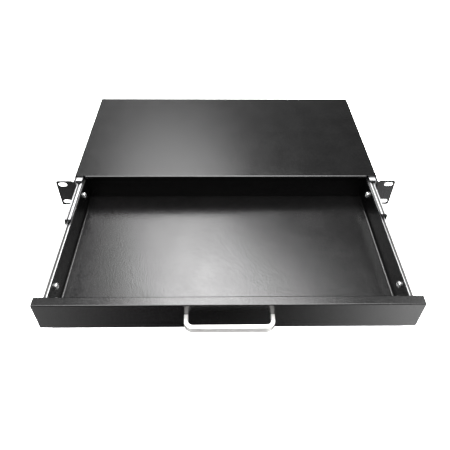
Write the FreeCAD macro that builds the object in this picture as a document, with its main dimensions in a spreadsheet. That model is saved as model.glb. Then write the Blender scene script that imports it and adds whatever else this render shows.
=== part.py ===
import FreeCAD, Part
import os
import re
import Sketcher
from math import atan2, hypot, sin, tan

# Sliding 1U rack drawer, drawn open. Millimetres. The origin is the centre of the
# four rack slots, on the front plane of the ears: +X right, +Y into the rack, +Z up.

sizes = {
    # case
    "case_width": 434.0, "case_height": 44.0, "case_depth": 230.0, "sheet_gauge": 1.2,
    "bend_radius": 0.6, "cover_setback": 12.7, "lip_overhang": 1.4, "lip_drop": 3.7,
    "lip_inset": 15.0, "notch_drop": 2.3, "base_flange": 13.2, "seam_gap": 0.2,
    # rack ears
    "ear_margin": 8.75, "ear_corner": 3.0, "ear_fold": 6.0,
    "slot_reach": 15.55, "slot_edge": 6.125, "slot_length": 12.0, "slot_height": 7.0,
    # slide members
    "rail_height": 27.0, "rail_width": 12.7, "rail_front": 5.0, "rail_rear": 7.0,
    "middle_shortfall": 10.0, "rail_gauge": 1.2, "rail_bend": 0.6, "rail_top_gap": 1.5,
    "outer_flange": 9.8, "middle_flange": 8.1, "inner_flange": 7.5,
    "ball_radius": 1.5, "ball_play": 0.1, "race_depth": 0.5, "member_gap": 0.25,
    "outer_ball_inset": 3.3, "inner_ball_inset": 4.3,
    "cage_gauge": 0.6, "cage_lip": 2.1, "cage_play": 0.1, "cage_end": 6.0,
    "outer_cage_length": 80.0, "inner_cage_length": 60.0,
    "outer_cage_start": 17.0, "inner_cage_start": 8.0,
    # where the slides stand with the drawer open
    "open_travel": 211.0, "middle_start": 3.2, "inner_start": 5.2,
    "middle_open_left": 79.0, "middle_open_right": 70.0,
    # plastic end pieces of the slides
    "stop_length": 8.0, "stop_nose": 4.6, "stop_drop": 1.9, "stop_gauge": 0.85,
    "prong_length": 7.5, "prong_root": 3.0, "prong_drop": 2.9, "prong_plate": 1.6,
    # drawer
    "panel_side_gap": 0.3, "panel_top_gap": 0.75, "panel_foot_gap": 0.1, "panel_gap": 0.3,
    "flange_gap": 0.5, "panel_return": 8.0, "wing_width": 14.0, "wing_lift": 1.5,
    "tray_rear_gap": 3.0, "tray_drop": 2.55, "tray_lift": 1.5,
    # pull handle
    "pull_span": 96.0, "pull_reach": 18.3, "pull_bar": 5.0, "pull_height": 8.5,
    "pull_corner": 10.0, "pull_edge": 0.8, "pull_bore_depth": 10.0,
    # fasteners
    "fit_gap": 0.05, "hole_gap": 0.2, "recess_depth": 1.1, "recess_width": 0.9,
    "screw_rim": 1.0,
    "tray_screw": 4.0, "tray_screw_head": 8.0, "tray_screw_rise": 2.6,
    "tray_screw_first": 33.0, "tray_screw_last": 23.0, "tray_screw_grip": 4.7,
    "tray_boss": 6.0, "tray_boss_depth": 1.6,
    "rail_screw": 4.0, "rail_screw_head": 7.5, "rail_screw_rise": 2.2,
    "rail_screw_first": 25.0, "rail_screw_last": 23.0,
    "base_screw": 3.0, "base_screw_head": 5.5, "base_screw_first": 35.0,
    "base_screw_last": 25.0, "base_screw_edge": 7.8, "clinch_nut": 6.4,
    "clinch_shank": 4.2, "clinch_rise": 1.5,
    "pull_screw": 3.0, "pull_screw_head": 6.0, "pull_screw_rise": 2.0,
    "pull_screw_spare": 1.5,
    "stud_size": 4.0, "stud_length": 6.0, "stud_inner": 120.0, "stud_edge": 23.1,
    "nut_flats": 7.0, "nut_height": 3.2,
}
rail_screw_count = 3
base_screw_count = 3
tray_screw_count = 2
ball_count = 3
countersink_angle = 90

doc = FreeCAD.newDocument("RackDrawer")
sheet = doc.addObject("Spreadsheet::Sheet", "Sizes")
for row, (alias, size) in enumerate(sizes.items(), 1):
    sheet.set(f"A{row}", alias)
    sheet.set(f"B{row}", str(size))
    sheet.setAlias(f"B{row}", alias)
doc.recompute()

# Lines that several pieces share, worked out from the sheet.
case_side = "case_width / 2"
case_inside = "(case_width / 2 - sheet_gauge)"
case_top = "case_height / 2"
base_top = "(sheet_gauge - case_height / 2)"
fold = "(bend_radius + sheet_gauge)"
lip_face = "(cover_setback - lip_overhang)"
slot_x = "(case_width / 2 + slot_reach)"
slot_z = "(case_height / 2 - slot_edge)"
ear_tip = "(case_width / 2 + slot_reach + ear_margin)"
tray_side = "(case_width / 2 - sheet_gauge - rail_width)"
panel_face = "(0 - open_travel - panel_gap - sheet_gauge)"
panel_back = "(0 - open_travel - panel_gap)"
panel_half = "(case_width / 2 - panel_side_gap)"
panel_rise = "(case_height / 2 - panel_top_gap)"
panel_fall = "(case_height / 2 - panel_foot_gap)"
tray_under = f"(sheet_gauge + tray_lift - {panel_fall})"
tray_length = "(case_depth - sheet_gauge - tray_rear_gap + panel_gap)"
rail_length = "(case_depth - rail_front - rail_rear)"
middle_length = f"({rail_length} - middle_shortfall)"
rail_level = "(case_height / 2 - sheet_gauge - rail_top_gap - rail_height / 2)"
race = "(ball_radius + ball_play)"
outer_half = "(rail_height / 2)"
outer_ball_line = f"({outer_half} - rail_gauge + race_depth - {race})"
middle_half = f"({outer_ball_line} - {race} + race_depth)"
inner_ball_line = f"({middle_half} - rail_gauge + race_depth - {race})"
inner_half = f"({inner_ball_line} - {race} + race_depth)"
middle_web = "(rail_gauge + cage_gauge + 2 * member_gap)"
outer_ball_depth = f"({middle_web} + outer_ball_inset)"
inner_ball_depth = "(rail_width - inner_ball_inset)"


def formula(text):
    """Adds the sheet's name to each size in an expression."""
    return re.sub(r"\b[a-z]+(_[a-z]+)+\b", r"Sizes.\g<0>", text)


def number(text):
    return float(sheet.evalExpression(text))


def new_body(name):
    body = doc.addObject("PartDesign::Body", name)
    body.Label = name
    return body


def new_sketch(body, role, level="0"):
    """A sketch on one of the body's origin planes, moved to a level along its axis."""
    sketch = body.newObject("Sketcher::SketchObject", "Sketch")
    plane = next(f for f in body.Origin.OriginFeatures if f.Role == role)
    sketch.AttachmentSupport = [(plane, "")]
    sketch.MapMode = "FlatFace"
    sign = "0 - " if role == "XZ_Plane" else ""
    sketch.setExpression("AttachmentOffset.Base.z", formula(f"{sign}({level})"))
    return sketch


def place(sketch, rules, geometry, point, x, y):
    """Rules that hold a point at x and y."""
    for kind, axis, text in (("DistanceX", -2, x), ("DistanceY", -1, y)):
        if text == "0":
            rules.append((Sketcher.Constraint("PointOnObject", geometry, point, axis), None))
        else:
            rule = Sketcher.Constraint(kind, -1, 1, geometry, point, number(text))
            rules.append((rule, text))


def apply_rules(sketch, rules):
    indices = sketch.addConstraint([rule for rule, text in rules])
    for index, (rule, text) in zip(indices, rules):
        if text is not None:
            sketch.setExpression(f"Constraints[{index}]", formula(text))


def corner(x, y, bend=None, around=None):
    """A corner of an outline: its bend radius, or the centre and turn of the arc after it."""
    return x, y, bend, around


def outline(sketch, corners):
    """A closed outline through corners, each held by the sheet."""
    up = FreeCAD.Vector(0, 0, 1)
    points = [FreeCAD.Vector(number(x), number(y), 0) for x, y, bend, around in corners]
    count = len(points)
    rules = []
    enters, leaves, bends = [], [], {}
    for i, (x, y, bend, around) in enumerate(corners):
        here = points[i]
        if bend is None:
            enters.append(here)
            leaves.append(here)
            continue
        back = (points[i - 1] - here).normalize()
        ahead = (points[(i + 1) % count] - here).normalize()
        half = back.getAngle(ahead) / 2
        radius = number(bend)
        enters.append(here + back * (radius / tan(half)))
        leaves.append(here + ahead * (radius / tan(half)))
        bends[i] = here + (back + ahead).normalize() * (radius / sin(half)), radius
    edges = []
    for i, (x, y, bend, around) in enumerate(corners):
        start, end = leaves[i], enters[(i + 1) % count]
        if around is None:
            index = sketch.addGeometry(Part.LineSegment(start, end), False)
            edges.append((index, 1, 2))
            continue
        centre_x, centre_y, turn = around
        centre = FreeCAD.Vector(number(centre_x), number(centre_y), 0)
        if turn < 0:
            start, end = end, start
        first, last = (atan2(p.y - centre.y, p.x - centre.x) for p in (start, end))
        circle = Part.Circle(centre, up, hypot(start.x - centre.x, start.y - centre.y))
        index = sketch.addGeometry(Part.ArcOfCircle(circle, first, last), False)
        edges.append((index, 1, 2) if turn > 0 else (index, 2, 1))
        chord = end - start
        if abs(chord.x) > abs(chord.y):
            rule = Sketcher.Constraint("DistanceY", -1, 1, index, 3, centre.y)
            rules.append((rule, centre_y))
        else:
            rule = Sketcher.Constraint("DistanceX", -1, 1, index, 3, centre.x)
            rules.append((rule, centre_x))
    for i, (x, y, bend, around) in enumerate(corners):
        before, after = edges[i - 1], edges[i]
        if bend is None:
            meet = Sketcher.Constraint("Coincident", before[0], before[2], after[0], after[1])
            rules.append((meet, None))
            place(sketch, rules, after[0], after[1], x, y)
            continue
        centre, radius = bends[i]
        first, last = (atan2(p.y - centre.y, p.x - centre.x) for p in (enters[i], leaves[i]))
        left_turn = (enters[i] - centre).cross(leaves[i] - centre).z > 0
        if not left_turn:
            first, last = last, first
        circle = Part.Circle(centre, up, radius)
        arc = sketch.addGeometry(Part.ArcOfCircle(circle, first, last), False)
        begin, finish = (1, 2) if left_turn else (2, 1)
        apex = sketch.addGeometry(Part.Point(points[i]), True)
        rules.append((Sketcher.Constraint("Tangent", before[0], before[2], arc, begin), None))
        rules.append((Sketcher.Constraint("Tangent", arc, finish, after[0], after[1]), None))
        rules.append((Sketcher.Constraint("Radius", arc, radius), bend))
        rules.append((Sketcher.Constraint("PointOnObject", apex, 1, before[0]), None))
        rules.append((Sketcher.Constraint("PointOnObject", apex, 1, after[0]), None))
        place(sketch, rules, apex, 1, x, y)
    apply_rules(sketch, rules)


def rectangle(sketch, left, right, low, high):
    outline(sketch, [corner(left, low), corner(right, low), corner(right, high), corner(left, high)])


def ring(sketch, x, y, diameter):
    centre = FreeCAD.Vector(number(x), number(y), 0)
    radius = number(diameter) / 2
    index = sketch.addGeometry(Part.Circle(centre, FreeCAD.Vector(0, 0, 1), radius), False)
    rules = [(Sketcher.Constraint("Diameter", index, 2 * radius), diameter)]
    place(sketch, rules, index, 3, x, y)
    apply_rules(sketch, rules)


def pad(body, sketch, length, away=False, both=False):
    """Adds material along the sketch's normal, against it (away) or both ways."""
    feature = body.newObject("PartDesign::Pad", "Pad")
    feature.Profile = sketch
    feature.SideType = "Symmetric" if both else "One side"
    feature.Reversed = away
    feature.setExpression("Length", formula(length))
    doc.recompute()
    return feature


def cut(body, sketch, length, away=False, both=False):
    """Takes material against the sketch's normal, along it (away) or both ways."""
    before = body.Shape.Volume
    feature = body.newObject("PartDesign::Pocket", "Pocket")
    feature.Profile = sketch
    feature.SideType = "Symmetric" if both else "One side"
    feature.Reversed = away
    feature.setExpression("Length", formula(length))
    doc.recompute()
    if body.Shape.Volume >= before:
        raise RuntimeError(f"{body.Label}: {feature.Name} cuts nothing")
    return feature


def edges_where(body, test):
    """Names of the edges of a body whose centre passes a test."""
    shape = body.Tip.Shape
    return [f"Edge{i}" for i, edge in enumerate(shape.Edges, 1) if test(edge, edge.BoundBox.Center)]


def fillet(body, names, radius):
    base = body.Tip
    feature = body.newObject("PartDesign::Fillet", "Fillet")
    feature.Base = (base, names)
    feature.setExpression("Radius", formula(radius))
    doc.recompute()
    return feature


def close(a, b):
    return abs(a - b) < 1e-4


def seat(body, side, start):
    """Stands a slide piece on the case wall. Its own x runs from the wall to the drawer."""
    if side > 0:
        body.Placement = FreeCAD.Placement(FreeCAD.Vector(), FreeCAD.Rotation(FreeCAD.Vector(0, 1, 0), 180))
    body.setExpression("Placement.Base.x", formula(f"{side} * {case_inside}"))
    body.setExpression("Placement.Base.y", formula(start))
    body.setExpression("Placement.Base.z", formula(rail_level))


# Case ---------------------------------------------------------------------------

def case_shell():
    body = new_body("case_shell")
    wrap = new_sketch(body, "XZ_Plane", "case_depth")
    inner_foot = f"({base_top} + sheet_gauge)"
    right = [
        corner(case_side, case_top, fold),
        corner(case_side, base_top, fold),
        corner(f"{case_side} - base_flange", base_top),
        corner(f"{case_side} - base_flange", inner_foot),
        corner(case_inside, inner_foot, "bend_radius"),
        corner(case_inside, "case_height / 2 - sheet_gauge", "bend_radius"),
    ]
    left = [corner(f"0 - ({x})", y, bend) for x, y, bend, around in reversed(right)]
    outline(wrap, right + left)
    pad(body, wrap, "case_depth - ear_fold")

    ears = new_sketch(body, "XY_Plane", "0 - case_height / 2")
    for side in (-1, 1):
        outline(ears, [
            corner(f"{side} * {case_inside}", "ear_fold"),
            corner(f"{side} * {case_inside}", "0", fold),
            corner(f"{side} * {ear_tip}", "0"),
            corner(f"{side} * {ear_tip}", "sheet_gauge"),
            corner(f"{side} * {case_side}", "sheet_gauge", "bend_radius"),
            corner(f"{side} * {case_side}", "ear_fold"),
        ])
    pad(body, ears, "case_height")
    tips = edges_where(body, lambda edge, c: close(abs(c.x), number(ear_tip))
                       and close(abs(c.z), number("case_height / 2"))
                       and close(edge.Length, number("sheet_gauge")))
    fillet(body, tips, "ear_corner")

    slots = new_sketch(body, "XZ_Plane")
    straight = "(slot_length - slot_height) / 2"
    for across in (-1, 1):
        for up in (-1, 1):
            x = f"({across} * {slot_x})"
            middle = f"{up} * {slot_z}"
            low, high = f"{middle} - slot_height / 2", f"{middle} + slot_height / 2"
            outline(slots, [
                corner(f"{x} - {straight}", low),
                corner(f"{x} + {straight}", low, around=(f"{x} + {straight}", middle, 1)),
                corner(f"{x} + {straight}", high),
                corner(f"{x} - {straight}", high, around=(f"{x} - {straight}", middle, 1)),
            ])
    cut(body, slots, "sheet_gauge")

    # The drawer's top flange closes into a notch in front of the cover.
    notch = new_sketch(body, "XZ_Plane")
    shoulder = f"{case_top} - notch_drop"
    outline(notch, [
        corner(f"0 - {case_side}", shoulder),
        corner(case_side, shoulder),
        corner(f"{case_side} + notch_drop", case_top),
        corner(f"0 - {case_side} - notch_drop", case_top),
    ])
    cut(body, notch, "cover_setback")

    lip = new_sketch(body, "YZ_Plane")
    outline(lip, [
        corner("cover_setback + sheet_gauge", case_top),
        corner(lip_face, case_top, fold),
        corner(lip_face, "case_height / 2 - lip_drop"),
        corner(f"{lip_face} + sheet_gauge", "case_height / 2 - lip_drop"),
        corner(f"{lip_face} + sheet_gauge", "case_height / 2 - sheet_gauge", "bend_radius"),
        corner("cover_setback + sheet_gauge", "case_height / 2 - sheet_gauge"),
    ])
    pad(body, lip, "case_width - 2 * lip_inset", both=True)

    # The foot flanges stop short of the rear wall, which stands between the sides.
    relief = new_sketch(body, "XY_Plane", inner_foot)
    for side in (-1, 1):
        inner, outer = f"{side} * ({case_side} - base_flange)", f"{side} * {case_inside}"
        rectangle(relief, inner, outer, "case_depth - sheet_gauge - 2 * bend_radius", "case_depth")
    cut(body, relief, "2 * sheet_gauge")

    nut_holes = new_sketch(body, "XY_Plane", inner_foot)
    for x, y in base_screw_places():
        ring(nut_holes, x, y, "clinch_shank + fit_gap")
    cut(body, nut_holes, "sheet_gauge")

    rail_holes = new_sketch(body, "YZ_Plane")
    for y in rail_screw_places():
        ring(rail_holes, f"rail_front + {y}", rail_level, "rail_screw + hole_gap")
    cut(body, rail_holes, "case_width", both=True)
    return body


def spread(length, first, last, count):
    """Even places along a length, from one end's distance to the other's."""
    return [f"({first} + {i / (count - 1)} * ({length} - {first} - {last}))" for i in range(count)]


def base_screw_places():
    run = spread("case_depth", "base_screw_first", "base_screw_last", base_screw_count)
    return [(f"{side} * ({case_side} - base_screw_edge)", y) for side in (-1, 1) for y in run]


def rail_screw_places():
    return spread(rail_length, "rail_screw_first", "rail_screw_last", rail_screw_count)


def tray_screw_places():
    return spread(rail_length, "tray_screw_first", "tray_screw_last", tray_screw_count)


def base_plate():
    body = new_body("base_plate")
    profile = new_sketch(body, "YZ_Plane")
    bottom = "0 - case_height / 2"
    rear_top = "case_height / 2 - sheet_gauge - seam_gap"
    outline(profile, [
        corner(lip_face, bottom),
        corner("case_depth", bottom, fold),
        corner("case_depth", rear_top),
        corner("case_depth - sheet_gauge", rear_top),
        corner("case_depth - sheet_gauge", base_top, "bend_radius"),
        corner(lip_face, base_top),
    ])
    pad(body, profile, "case_width", both=True)
    sides = new_sketch(body, "XY_Plane", base_top)
    for side in (-1, 1):
        rectangle(sides, f"{side} * ({case_inside} - seam_gap)", f"{side} * case_width",
                  f"case_depth - {fold}", "case_depth")
    cut(body, sides, "case_height", away=True)
    points = new_sketch(body, "XY_Plane", bottom)
    for x, y in base_screw_places():
        ring(points, x, y, "base_screw + hole_gap")
    doc.recompute()
    hole = body.newObject("PartDesign::Hole", "Hole")
    hole.Profile = points
    hole.DepthType = "ThroughAll"
    hole.Reversed = True
    hole.HoleCutType = "Countersink"
    hole.HoleCutCustomValues = True
    hole.HoleCutCountersinkAngle = countersink_angle
    hole.setExpression("Diameter", formula("base_screw + hole_gap"))
    hole.setExpression("HoleCutDiameter", formula("base_screw_head"))
    doc.recompute()
    return body


def base_screws():
    body = new_body("base_screws")
    heads = new_sketch(body, "XY_Plane", "0 - case_height / 2")
    shanks = new_sketch(body, "XY_Plane", "0 - case_height / 2")
    for x, y in base_screw_places():
        ring(heads, x, y, "base_screw_head - 2 * fit_gap")
        ring(shanks, x, y, "base_screw")
    cone = pad(body, heads, "(base_screw_head - base_screw) / 2 - fit_gap")
    cone.TaperAngle = -countersink_angle / 2
    pad(body, shanks, "2 * sheet_gauge + clinch_rise")
    return body


def clinch_nuts():
    body = new_body("clinch_nuts")
    flange_top = f"{base_top} + sheet_gauge"
    levels = (("clinch_nut", flange_top, "clinch_rise"), ("clinch_shank", base_top, "sheet_gauge"))
    for size, level, height in levels:
        sketch = new_sketch(body, "XY_Plane", level)
        for x, y in base_screw_places():
            ring(sketch, x, y, size)
        pad(body, sketch, height)
    bore = new_sketch(body, "XY_Plane", base_top)
    for x, y in base_screw_places():
        ring(bore, x, y, "base_screw + 2 * fit_gap")
    cut(body, bore, "sheet_gauge + clinch_rise", away=True)
    return body


# Slides -------------------------------------------------------------------------
# A slide's own frame: x from the case wall to the drawer, y along the slide from its
# front end, z up from its middle line. The right slide is the left one turned over.

def race_corners(depth, line, surface, above, heading):
    """Two corners and the ball race between them, on a flange at a height."""
    half = f"sqrt({race}^2 - ({line} - ({surface}))^2)"
    first, last = ("-", "+") if heading > 0 else ("+", "-")
    turn = -heading if above else heading
    return [corner(f"{depth} {first} {half}", surface, around=(depth, line, turn)),
            corner(f"{depth} {last} {half}", surface)]


def upside_down(corners):
    """The lower half of a section, from its upper half."""
    flipped = []
    for i, (x, y, bend, around) in enumerate(reversed(corners)):
        arc = corners[len(corners) - 2 - i][3] if i < len(corners) - 1 else None
        turned = (arc[0], f"0 - {arc[1]}", arc[2]) if arc else None
        flipped.append(corner(x, f"0 - ({y})", bend, turned))
    return flipped


def slide_outer(side, name):
    body = new_body(f"slide_outer_{name}")
    section = new_sketch(body, "XZ_Plane")
    under = f"{outer_half} - rail_gauge"
    upper = [corner("rail_gauge", under, "rail_bend")]
    upper += race_corners(outer_ball_depth, outer_ball_line, under, True, 1)
    upper += [corner("outer_flange", under), corner("outer_flange", outer_half),
              corner("0", outer_half, "rail_bend + rail_gauge")]
    outline(section, upper + upside_down(upper))
    pad(body, section, rail_length, away=True)
    holes = new_sketch(body, "YZ_Plane")
    for y in rail_screw_places():
        ring(holes, y, "0", "rail_screw + 2 * fit_gap")
    cut(body, holes, "3 * rail_gauge", both=True)
    seat(body, side, "rail_front")
    return body


def slide_middle(side, name):
    body = new_body(f"slide_middle_{name}")
    section = new_sketch(body, "XZ_Plane")
    under = f"{middle_half} - rail_gauge"
    tip = f"{middle_web} + middle_flange"
    upper = [corner(f"{middle_web} + rail_gauge", under, "rail_bend")]
    upper += race_corners(inner_ball_depth, inner_ball_line, under, True, 1)
    upper += [corner(tip, under), corner(tip, middle_half)]
    upper += race_corners(outer_ball_depth, outer_ball_line, middle_half, False, -1)
    upper += [corner(middle_web, middle_half, "rail_bend + rail_gauge")]
    outline(section, upper + upside_down(upper))
    pad(body, section, middle_length, away=True)
    seat(body, side, f"rail_front + middle_start - middle_open_{name}")
    return body


def slide_inner(side, name):
    body = new_body(f"slide_inner_{name}")
    section = new_sketch(body, "XZ_Plane")
    under = f"{inner_half} - rail_gauge"
    tip = "rail_width - inner_flange"
    upper = [corner("rail_width - rail_gauge", under, "rail_bend"),
             corner(tip, under), corner(tip, inner_half)]
    upper += race_corners(inner_ball_depth, inner_ball_line, inner_half, False, 1)
    upper += [corner("rail_width", inner_half, "rail_bend + rail_gauge")]
    outline(section, upper + upside_down(upper))
    pad(body, section, rail_length, away=True)
    bosses = new_sketch(body, "YZ_Plane", "rail_width - rail_gauge")
    bores = new_sketch(body, "YZ_Plane", "rail_width")
    for y in tray_screw_places():
        ring(bosses, y, "0", "tray_boss")
        ring(bores, y, "0", "tray_screw + 2 * fit_gap")
    pad(body, bosses, "tray_boss_depth", away=True)
    cut(body, bores, "rail_gauge + tray_boss_depth")
    seat(body, side, "inner_start - open_travel - panel_gap")
    return body


def cage(side, name, start, web, depth, line, length):
    """A pressed strip that keeps two rows of balls apart."""
    body = new_body(name)
    section = new_sketch(body, "XZ_Plane")
    low, high = f"{line} - cage_gauge / 2", f"{line} + cage_gauge / 2"
    tip = f"{depth} + cage_lip"
    outline(section, [
        corner(web, f"0 - ({high})"), corner(tip, f"0 - ({high})"), corner(tip, f"0 - ({low})"),
        corner(f"{web} + cage_gauge", f"0 - ({low})"), corner(f"{web} + cage_gauge", low),
        corner(tip, low), corner(tip, high), corner(web, high),
    ])
    pad(body, section, length, away=True)
    holes = new_sketch(body, "XY_Plane")
    for y in ball_places(length):
        ring(holes, depth, y, "2 * (ball_radius + cage_play)")
    cut(body, holes, "rail_height", both=True)
    seat(body, side, start)
    return body


def ball_places(length):
    return spread(length, "cage_end", "cage_end", ball_count)


def balls(side, name, start, depth, line, length):
    """Both rows of balls: half discs turned about the upper row's line, then mirrored."""
    body = new_body(name)
    row = new_sketch(body, "XY_Plane", line)
    for y in ball_places(length):
        outline(row, [
            corner(depth, f"{y} - ball_radius", around=(depth, y, 1)),
            corner(depth, f"{y} + ball_radius"),
        ])
    axis = row.addGeometry(Part.LineSegment(FreeCAD.Vector(number(depth), -1, 0),
                                            FreeCAD.Vector(number(depth), 1, 0)), True)
    rules = []
    place(row, rules, axis, 1, depth, "0")
    place(row, rules, axis, 2, depth, "ball_radius")
    apply_rules(row, rules)
    upper = body.newObject("PartDesign::Revolution", "Revolution")
    upper.Profile = row
    upper.ReferenceAxis = (row, ["Axis0"])
    upper.Angle = 360
    doc.recompute()
    lower = body.newObject("PartDesign::Mirrored", "Mirrored")
    lower.Originals = [upper]
    plane = next(f for f in body.Origin.OriginFeatures if f.Role == "XY_Plane")
    lower.MirrorPlane = (plane, [""])
    body.Tip = lower
    doc.recompute()
    seat(body, side, start)
    return body


def outer_bumper(side, name):
    """Plastic stop in the mouth of the outer member, with a pointed nose on each flange."""
    body = new_body(f"outer_bumper_{name}")
    section = new_sketch(body, "XZ_Plane", "0 - stop_nose")
    seat_line = f"({outer_half} - rail_gauge)"
    clear = "(rail_gauge + rail_bend + member_gap / 2)"
    inner = "(rail_gauge + stop_gauge)"
    tip = "(outer_flange - member_gap)"
    shy = f"({seat_line} - rail_bend - member_gap)"
    upper = [corner(inner, f"{seat_line} - stop_drop"), corner(tip, f"{seat_line} - stop_drop"),
             corner(tip, seat_line), corner(clear, seat_line), corner(clear, shy),
             corner("rail_gauge", shy)]
    outline(section, upper + upside_down(upper))
    pad(body, section, "stop_nose + stop_length", away=True)
    nose = new_sketch(body, "XY_Plane")
    for edge in ("rail_gauge", tip):
        outline(nose, [corner(edge, "0"), corner(outer_ball_depth, "0 - stop_nose"),
                       corner(edge, "0 - stop_nose")])
    cut(body, nose, "rail_height", both=True)
    seat(body, side, "rail_front")
    return body


def middle_bumper(side, name):
    """Plastic cap on the middle member's front end, with two prongs on each flange."""
    body = new_body(f"middle_bumper_{name}")
    section = new_sketch(body, "XZ_Plane", "0 - prong_length")
    low = f"{middle_half} - prong_drop"
    inner = f"({middle_web} + rail_gauge)"
    tip = f"({middle_web} + middle_flange)"
    outline(section, [
        corner(middle_web, f"0 - {middle_half}"), corner(tip, f"0 - {middle_half}"),
        corner(tip, f"0 - ({low})"), corner(inner, f"0 - ({low})"),
        corner(inner, low), corner(tip, low), corner(tip, middle_half),
        corner(middle_web, middle_half),
    ])
    pad(body, section, "prong_length", away=True)
    prongs = new_sketch(body, "XY_Plane")
    quarters = [f"{middle_web} + {step} * middle_flange / 4" for step in range(5)]
    for left, right, root in ((0, 1, 0), (1, 3, 2), (3, 4, 4)):
        outline(prongs, [
            corner(quarters[left], "0 - prong_length"), corner(quarters[right], "0 - prong_length"),
            corner(quarters[root], "0 - prong_root"),
        ])
    cut(body, prongs, "rail_height", both=True)
    web = new_sketch(body, "YZ_Plane")
    rectangle(web, "0 - prong_length", "0 - prong_plate", f"0 - ({low})", low)
    cut(body, web, inner, away=True)
    seat(body, side, f"rail_front + middle_start - middle_open_{name}")
    return body


def cross_recess(sketch, x, y, size):
    """A cross for a screwdriver, as an outline of twelve corners."""
    long, short = f"{size} / 4", "recess_width / 2"
    steps = ((1, 1, "ls"), (1, 1, "ss"), (1, 1, "sl"), (-1, 1, "sl"), (-1, 1, "ss"), (-1, 1, "ls"),
             (-1, -1, "ls"), (-1, -1, "ss"), (-1, -1, "sl"), (1, -1, "sl"), (1, -1, "ss"), (1, -1, "ls"))
    reach = {"l": long, "s": short}
    outline(sketch, [corner(f"{x} + {a} * {reach[kind[0]]}", f"{y} + {b} * {reach[kind[1]]}")
                     for a, b, kind in steps])


def pan_screws(body, role, level, places, screw, outward, grip):
    """Pan-head screws whose heads rise from a level, outward along (1) or against (-1) the plane."""
    turned = outward == (1 if role == "XZ_Plane" else -1)
    heads = new_sketch(body, role, level)
    shanks = new_sketch(body, role, level)
    crown = f"{level} + {outward} * {screw}_rise"
    crosses = new_sketch(body, role, crown)
    for x, y in places:
        ring(heads, x, y, f"{screw}_head")
        ring(shanks, x, y, screw)
        cross_recess(crosses, x, y, f"{screw}_head")
    pad(body, heads, f"{screw}_rise", away=turned)
    top = number(crown)
    axis = {"XZ_Plane": "y", "YZ_Plane": "x"}[role]
    rims = edges_where(body, lambda edge, c: close(getattr(c, axis), top) and len(edge.Vertexes) == 1)
    fillet(body, rims, f"{screw}_rise - screw_rim")
    cut(body, crosses, "recess_depth", away=turned)
    pad(body, shanks, grip, away=not turned)


def rail_screws(side, name):
    body = new_body(f"rail_screws_{name}")
    pan_screws(body, "YZ_Plane", "(0 - sheet_gauge)", [(y, "0") for y in rail_screw_places()],
               "rail_screw", -1, "sheet_gauge + rail_gauge")
    seat(body, side, "rail_front")
    return body


def tray_screws(side, name):
    body = new_body(f"tray_screws_{name}")
    pan_screws(body, "YZ_Plane", "(rail_width + sheet_gauge)", [(y, "0") for y in tray_screw_places()],
               "tray_screw", 1, "tray_screw_grip")
    seat(body, side, "inner_start - open_travel - panel_gap")
    return body


# Drawer -------------------------------------------------------------------------

def stud_places():
    outer = f"({tray_side} - stud_edge)"
    return [(f"({side} * {x})", "0") for side in (-1, 1) for x in ("stud_inner", outer)]


def pull_places():
    return [(f"({side} * pull_span / 2)", "0") for side in (-1, 1)]


def drawer_tray():
    body = new_body("drawer_tray")
    plan = new_sketch(body, "XY_Plane", tray_under)
    rectangle(plan, f"0 - {tray_side}", tray_side, panel_back, f"{panel_back} + {tray_length}")
    pad(body, plan, f"{panel_rise} - sheet_gauge - tray_drop - {tray_under}")
    top = number(f"{panel_rise} - sheet_gauge - tray_drop")
    fillet(body, edges_where(body, lambda edge, c: not close(c.z, top)), fold)
    walls = body.newObject("PartDesign::Thickness", "Thickness")
    base = walls.BaseFeature
    face = next(i for i, f in enumerate(base.Shape.Faces, 1) if close(f.BoundBox.ZMin, top))
    walls.Base = (base, [f"Face{face}"])
    walls.Reversed = True
    walls.setExpression("Value", formula("sheet_gauge"))
    doc.recompute()
    screws = new_sketch(body, "YZ_Plane")
    for y in tray_screw_places():
        ring(screws, f"{panel_back} + inner_start + {y}", rail_level, "tray_screw + hole_gap")
    cut(body, screws, "case_width", both=True)
    front = new_sketch(body, "XZ_Plane", panel_back)
    for x, z in stud_places():
        ring(front, x, z, "stud_size + hole_gap")
    for x, z in pull_places():
        ring(front, x, z, "pull_screw + hole_gap")
    cut(body, front, "2 * sheet_gauge")
    return body


def drawer_front():
    body = new_body("drawer_front")
    profile = new_sketch(body, "YZ_Plane")
    flange_end = f"({panel_back} + {lip_face} + panel_gap - flange_gap)"
    outline(profile, [
        corner(flange_end, panel_rise),
        corner(panel_face, panel_rise, fold),
        corner(panel_face, f"0 - {panel_fall}", fold),
        corner(f"{panel_face} + panel_return", f"0 - {panel_fall}"),
        corner(f"{panel_face} + panel_return", f"sheet_gauge - {panel_fall}"),
        corner(panel_back, f"sheet_gauge - {panel_fall}", "bend_radius"),
        corner(panel_back, f"{panel_rise} - sheet_gauge", "bend_radius"),
        corner(flange_end, f"{panel_rise} - sheet_gauge"),
    ])
    pad(body, profile, f"2 * {panel_half}", both=True)
    wings = new_sketch(body, "XZ_Plane", panel_face)
    for side in (-1, 1):
        rectangle(wings, f"{side} * ({panel_half} - wing_width)", f"{side} * {panel_half}",
                  f"0 - {panel_fall}", f"wing_lift - {panel_fall}")
    cut(body, wings, "panel_return")
    studs = new_sketch(body, "XZ_Plane", panel_back)
    for x, z in stud_places():
        ring(studs, x, z, "stud_size")
    pad(body, studs, "stud_length", away=True)
    holes = new_sketch(body, "XZ_Plane", panel_face)
    for x, z in pull_places():
        ring(holes, x, z, "pull_screw + hole_gap")
    cut(body, holes, "sheet_gauge")
    return body


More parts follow.
